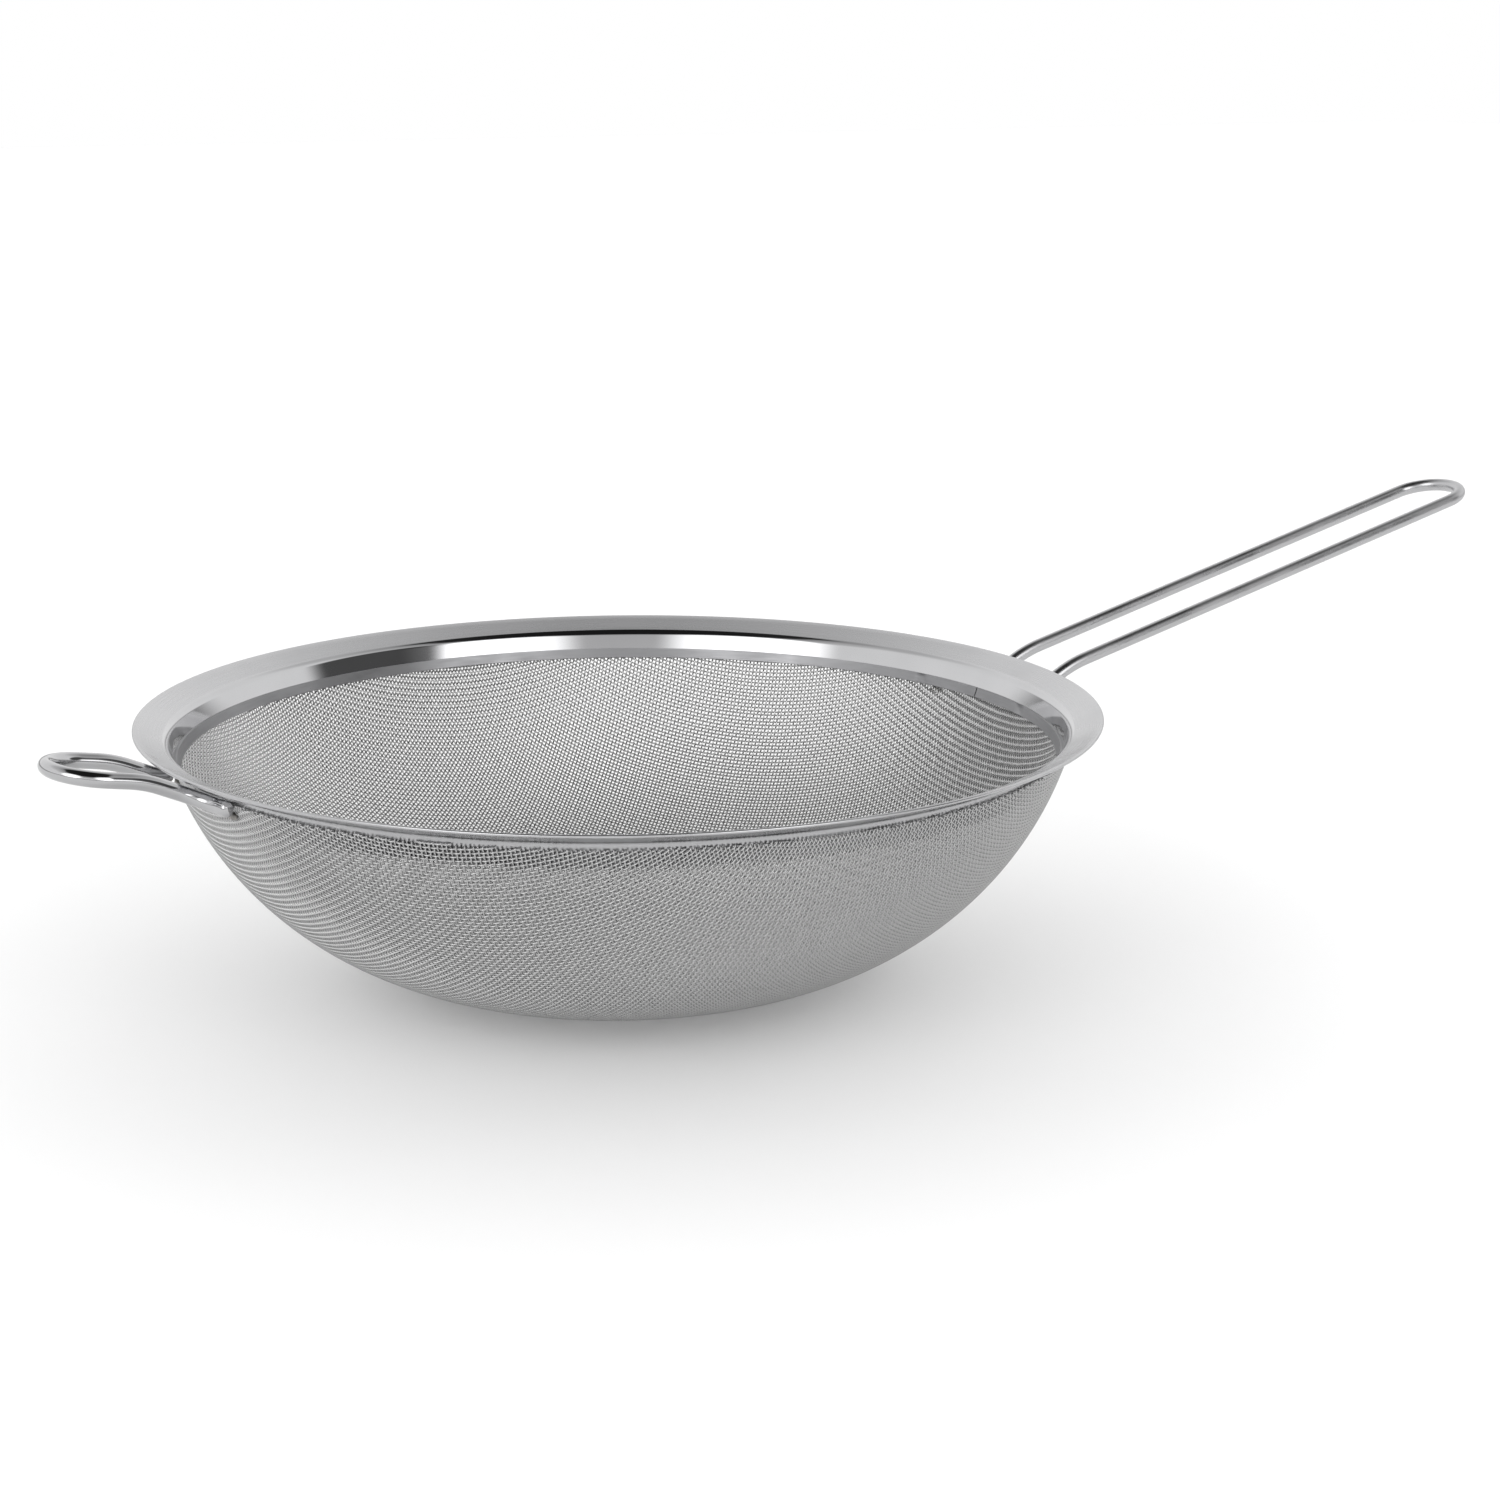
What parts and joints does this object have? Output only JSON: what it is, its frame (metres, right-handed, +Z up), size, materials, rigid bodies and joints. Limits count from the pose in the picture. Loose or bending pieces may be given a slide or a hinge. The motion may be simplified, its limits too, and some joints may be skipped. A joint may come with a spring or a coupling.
{
  "type": "wire mesh strainer",
  "caption": "Round kitchen strainer: fine stainless wire cloth bowl clamped in a wide polished rim, with a long two-wire handle and a short support loop opposite it.",
  "frame": {"origin": "centre of the mouth, level with the top of the rim's outer edge", "axes": "+X along the handle, away from the bowl; +Y to the left of the handle seen from above with the handle pointing away; +Z up, out of the bowl's mouth"},
  "size_m": [0.4302, 0.24, 0.1044],
  "materials": {
    "polished_steel": "satin to mirror polished stainless sheet",
    "strip_steel": "dull rolled stainless strip",
    "woven_wire": "plain weave of fine bright stainless wire",
    "drawn_wire": "electropolished drawn stainless wire",
    "weld_metal": "slightly darkened resistance weld"
  },
  "bodies": {
    "root": {"rim": "polished_steel", "clamping_strip": "strip_steel", "mesh_bowl": "woven_wire", "handle_wire": "drawn_wire", "support_loop": "drawn_wire", "handle_welds": "weld_metal", "loop_welds": "weld_metal"}
  },
  "joints": []
}
